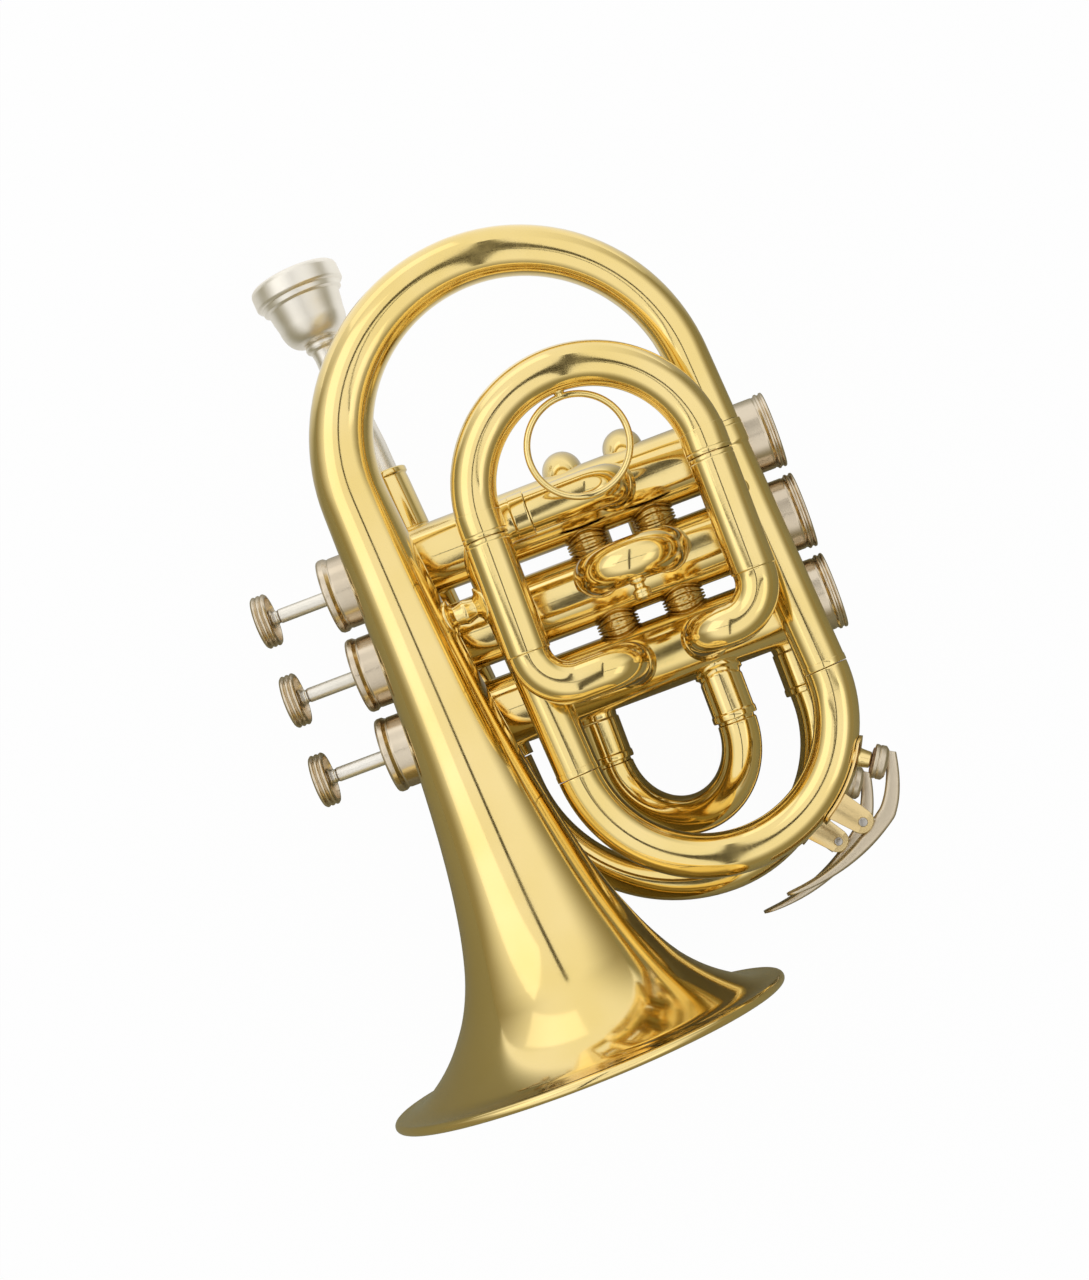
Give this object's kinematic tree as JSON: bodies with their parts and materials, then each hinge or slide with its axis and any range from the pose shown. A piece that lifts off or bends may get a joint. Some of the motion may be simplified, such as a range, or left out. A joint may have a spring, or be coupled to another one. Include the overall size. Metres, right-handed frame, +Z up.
{
  "type": "pocket trumpet",
  "caption": "Compact brass trumpet with tightly wound tubing, sprung piston valves, pull-out slides, water keys and a removable mouthpiece.",
  "frame": {"origin": "middle of the foot of the box round the trumpet as it lies on its side", "axes": "+X forward along the bell, +Y from the finger buttons to the bottom caps, +Z up off the table"},
  "size_m": [0.241, 0.164, 0.113],
  "materials": {
    "lacquered_brass": "clear lacquer",
    "raw_brass": "satin",
    "nickel": "polished nickel",
    "silver": "polished silver plate",
    "steel": "bare steel",
    "cork": "pressed cork"
  },
  "bodies": {
    "trumpet": {"bell": "lacquered_brass", "bell_side_tube": "lacquered_brass", "bell_front_bow": "lacquered_brass", "bell_return_tube": "lacquered_brass", "return_elbow": "lacquered_brass", "mouthpiece_receiver": "lacquered_brass", "leadpipe": "lacquered_brass", "leadpipe_bow": "lacquered_brass", "tuning_inlet_tube": "lacquered_brass", "tuning_outlet_sleeve": "lacquered_brass", "third_slide_upper_sleeve": "lacquered_brass", "third_slide_lower_sleeve": "lacquered_brass", "second_slide_upper_sleeve": "lacquered_brass", "second_slide_lower_sleeve": "lacquered_brass", "first_slide_upper_sleeve": "lacquered_brass", "first_slide_lower_sleeve": "lacquered_brass", "valve_casing_1": "lacquered_brass", "valve_casing_2": "lacquered_brass", "valve_casing_3": "lacquered_brass", "stay_1_2": "lacquered_brass", "stay_2_3": "lacquered_brass", "knuckle_1_2": "lacquered_brass", "knuckle_2_3": "lacquered_brass", "bell_brace": "lacquered_brass", "side_brace": "lacquered_brass", "leadpipe_rear_brace": "lacquered_brass", "leadpipe_front_brace": "lacquered_brass", "valve_spring_1": "steel", "top_cap_1": "nickel", "bottom_cap_1": "nickel", "valve_spring_2": "steel", "top_cap_2": "nickel", "bottom_cap_2": "nickel", "valve_spring_3": "steel", "top_cap_3": "nickel", "bottom_cap_3": "nickel", "bell_water_key_saddle": "raw_brass", "bell_water_key_pin": "steel", "leadpipe_water_key_saddle": "raw_brass", "leadpipe_water_key_pin": "steel"},
    "third_slide": {"third_slide": "lacquered_brass", "third_slide_ring": "lacquered_brass"},
    "second_slide": {"second_slide": "lacquered_brass"},
    "first_slide": {"first_slide": "lacquered_brass"},
    "tuning_slide": {"tuning_slide": "lacquered_brass"},
    "mouthpiece": {"mouthpiece": "silver"},
    "bell_water_key": {"bell_water_key_lever": "nickel", "bell_water_key_cork": "cork"},
    "leadpipe_water_key": {"leadpipe_water_key_lever": "nickel", "leadpipe_water_key_cork": "cork"},
    "valve_1": {"piston_1": "nickel", "valve_stem_1": "silver", "finger_button_1": "nickel"},
    "valve_2": {"piston_2": "nickel", "valve_stem_2": "silver", "finger_button_2": "nickel"},
    "valve_3": {"piston_3": "nickel", "valve_stem_3": "silver", "finger_button_3": "nickel"}
  },
  "joints": [
    {"name": "valve_1_press", "type": "slide", "parent": "trumpet", "child": "valve_1", "axis": [0, 1, 0], "range_m": [0, 0.016], "stiffness_N_per_m": 150, "springref_m": -0.012, "deforming": ["valve_spring_1"]},
    {"name": "valve_2_press", "type": "slide", "parent": "trumpet", "child": "valve_2", "axis": [0, 1, 0], "range_m": [0, 0.016], "stiffness_N_per_m": 150, "springref_m": -0.012, "deforming": ["valve_spring_2"]},
    {"name": "valve_3_press", "type": "slide", "parent": "trumpet", "child": "valve_3", "axis": [0, 1, 0], "range_m": [0, 0.016], "stiffness_N_per_m": 150, "springref_m": -0.012, "deforming": ["valve_spring_3"]},
    {"name": "third_slide_pull", "type": "slide", "parent": "trumpet", "child": "third_slide", "axis": [-1, 0, 0], "range_m": [0, 0.022]},
    {"name": "second_slide_pull", "type": "slide", "parent": "trumpet", "child": "second_slide", "axis": [0, 0, 1], "range_m": [0, 0.005]},
    {"name": "first_slide_pull", "type": "slide", "parent": "trumpet", "child": "first_slide", "axis": [1, 0, 0], "range_m": [0, 0.009]},
    {"name": "tuning_slide_pull", "type": "slide", "parent": "trumpet", "child": "tuning_slide", "axis": [1, 0, 0], "range_m": [0, 0.007]},
    {"name": "mouthpiece_pull", "type": "slide", "parent": "trumpet", "child": "mouthpiece", "axis": [-0.9971, -0.0767, 0], "range_m": [0, 0.025]},
    {"name": "bell_water_key_hinge", "type": "hinge", "parent": "trumpet", "child": "bell_water_key", "pos_m": [0.08583, 0.0652, 0.0565], "axis": [0, 0, -1], "range_deg": [0, 12], "stiffness_Nm_per_rad": 0.03, "springref_deg": -17.19},
    {"name": "leadpipe_water_key_hinge", "type": "hinge", "parent": "trumpet", "child": "leadpipe_water_key", "pos_m": [0.09213, 0.05839, 0.01365], "axis": [0, 0, -1], "range_deg": [0, 12], "stiffness_Nm_per_rad": 0.03, "springref_deg": -17.19}
  ]
}
